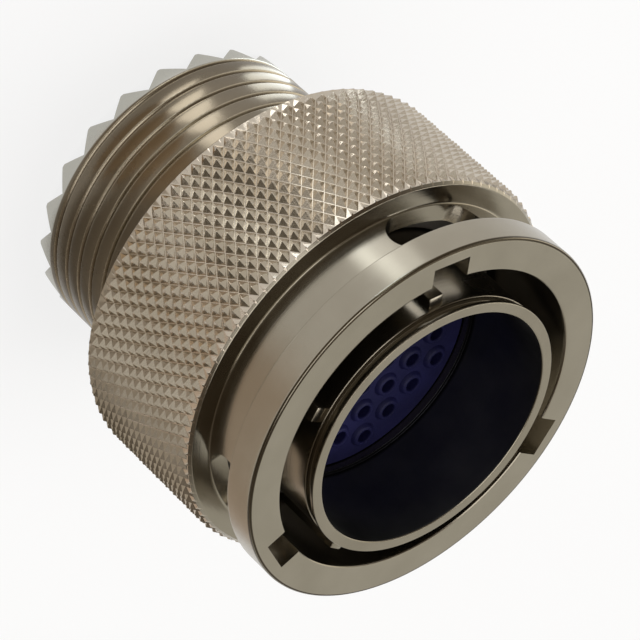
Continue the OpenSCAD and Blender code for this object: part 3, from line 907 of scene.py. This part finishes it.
# cards of painted shade seen only in the metal: dimCard, brownCard and footCard lie on the floor as a painted
# shadow near the foot; sideCard and frontCard are painted dark reflections
cardSet = dict(
    sideCard=dict(place=(65, -37, 13), size=(84, 26), soft=1, turn=-31, tilt=90, colour=(0.16, 0.145, 0.12)),
    frontCard=dict(place=(-52.5, -105, 15), size=(111, 30), soft=6, turn=90, tilt=90,
                   colour=(0.5, 0.47, 0.43)),
    dimCard=dict(place=(33.8, -9.1, 0.15), size=(84, 38), soft=14, turn=-15, tilt=0,
                 colour=(0.72, 0.61, 0.52)),
    brownCard=dict(place=(-0.5, -14, 0.2), size=(8, 10), soft=1, turn=0, tilt=0, colour=(0.95, 0.76, 0.54)),
    footCard=dict(place=(16.8, -10.1, 0.25), size=(30, 21.8), soft=2, turn=-31, tilt=0,
                  colour=(0.6, 0.56, 0.5)),
)
cameraSet = dict(aim=(-0.11, -4.31, 16.43), distance=203.1, elevation=34.5, roll=132.9, lens=219.7, sensor=36,
                 clip=(0.01, 10))


def matteFinish(name, colour):
    material, tree, shader = newMaterial(name)
    shader.inputs["Base Color"].default_value = (*colour, 1)
    shader.inputs["Roughness"].default_value = stageSet["roughness"]
    shader.inputs["Specular IOR Level"].default_value = 0
    return material, tree, shader


def mixSurface(tree, share, low, high):
    mix = tree.nodes.new("ShaderNodeMixShader")
    for socket, source in zip(mix.inputs, (share, low, high)):
        tree.links.new(source, socket)
    tree.links.new(mix.outputs[0], tree.nodes["Material Output"].inputs["Surface"])


def makeFloor():
    size = stageSet["size"]
    mesh = bpy.data.meshes.new("floor")
    corners = [(-size, -size, 0), (size, -size, 0), (size, size, 0), (-size, size, 0)]
    mesh.from_pydata(corners, [], [(0, 1, 2, 3)])
    floor = linkMesh("floor", mesh)
    material, tree, shader = matteFinish("paleFloor", stageSet["colour"])
    # part of the floor's white is its own, so that the shadow stays pale
    path = tree.nodes.new("ShaderNodeLightPath").outputs
    mirrored = mathNode(tree, "MAXIMUM", path["Is Glossy Ray"], path["Is Transmission Ray"])
    share = mathNode(tree, "MAXIMUM", mathNode(tree, "MULTIPLY", path["Is Camera Ray"], stageSet["white"]),
                     mathNode(tree, "MULTIPLY", mirrored, stageSet["mirrorWhite"]))
    white = tree.nodes.new("ShaderNodeEmission")
    mixSurface(tree, share, shader.outputs[0], white.outputs[0])
    mesh.materials.append(material)


def makeCard(name, settings):
    # card that only shows in the metal, clear at its border: painted shade in the reflections, unseen by the
    # camera, by diffuse light and by shadows
    wide, tall, soft = settings["size"][0] / 2, settings["size"][1] / 2, settings["soft"]
    across, along = ([-half, soft - half, half - soft, half] for half in (tall, wide))
    tilt = Matrix.Rotation(math.radians(settings["tilt"]), 4, "Y")
    spin = Matrix.Rotation(math.radians(settings["turn"]), 4, "Z") @ tilt
    rows = [[Vector(settings["place"]) + spin @ Vector((x, y, 0)) for y in along] for x in across]
    card = rowsMesh(name, rows, wrapRows=False, wrapTurn=False)
    border = (0.0, 1.0, 1.0, 0.0)
    cover = card.data.attributes.new("cover", "FLOAT", "POINT")
    cover.data.foreach_set("value", [x * y for x in border for y in border])
    material, tree, shader = matteFinish(name, settings["colour"])
    share = tree.nodes.new("ShaderNodeAttribute")
    share.attribute_name = "cover"
    clear = tree.nodes.new("ShaderNodeBsdfTransparent")
    mixSurface(tree, share.outputs["Fac"], clear.outputs[0], shader.outputs[0])
    card.data.materials.append(material)
    card.visible_camera = card.visible_diffuse = card.visible_shadow = False


def makeBox(name, settings):
    # softbox whose face has that glow, white at 1
    lamp = bpy.data.lights.new(name, "AREA")
    lamp.shape = "RECTANGLE"
    lamp.size, lamp.size_y = (side * mm for side in settings["size"])
    lamp.energy = settings["glow"] * math.pi * lamp.size * lamp.size_y
    lamp.color = settings.get("colour", (1, 1, 1))
    holder = bpy.data.objects.new(name, lamp)
    scene.collection.objects.link(holder)
    place, aim = Vector(settings["place"]) * mm, Vector(settings["aim"]) * mm
    holder.location = place
    spin = Matrix.Rotation(math.radians(settings.get("turn", 0)), 3, "Z")
    holder.rotation_euler = (spin @ (aim - place).to_track_quat("-Z", "Y").to_matrix()).to_euler()
    holder.visible_camera = False


def makeStrip(name, settings):
    # softbox on the floor that looks up
    x, y = settings["place"]
    makeBox(name, dict(settings, place=(x, y, stripHeight), aim=(x, y, stripAim)))


def makeCamera():
    camera = bpy.data.cameras.new("camera")
    camera.lens = cameraSet["lens"]
    camera.sensor_width = cameraSet["sensor"]
    camera.clip_start, camera.clip_end = cameraSet["clip"]
    holder = bpy.data.objects.new("camera", camera)
    scene.collection.objects.link(holder)
    tilt = math.radians(90 - cameraSet["elevation"])
    spin = Matrix.Rotation(tilt, 4, "X") @ Matrix.Rotation(math.radians(cameraSet["roll"]), 4, "Z")
    back = spin.to_3x3() @ Vector((0, 0, 1))
    place = (Vector(cameraSet["aim"]) + back * cameraSet["distance"]) * mm
    holder.matrix_world = Matrix.Translation(place) @ spin
    scene.camera = holder


def makeSky():
    # pale round the horizon, less so on the right, and pale at the back; dim overhead
    world = bpy.data.worlds.new("sky")
    world.use_nodes = True
    tree = world.node_tree
    split = tree.nodes.new("ShaderNodeSeparateXYZ")
    tree.links.new(tree.nodes.new("ShaderNodeTexCoord").outputs["Generated"], split.inputs[0])
    x, y, z = split.outputs
    level = rangeNode(tree, mathNode(tree, "ABSOLUTE", z), skySet["lowShare"], 0, *skySet["horizon"])
    left = rangeNode(tree, x, 1, skySet["rightShare"], *skySet["right"])
    back = rangeNode(tree, y, 0, 1, *skySet["back"])
    share = mathNode(tree, "MAXIMUM", mathNode(tree, "MULTIPLY", level, left), back)
    colour = rampNode(tree, share, [(0, skySet["dim"]), (1, skySet["pale"])])
    tree.links.new(colour, tree.nodes["Background"].inputs["Color"])
    scene.world = world


makeSky()
makeFloor()
for boxName, boxSettings in boxSet.items():
    makeBox(boxName, boxSettings)
for stripName, stripSettings in stripSet.items():
    makeStrip(stripName, stripSettings)
for cardName, cardSettings in cardSet.items():
    makeCard(cardName, cardSettings)
makeCamera()
print("stage ready")
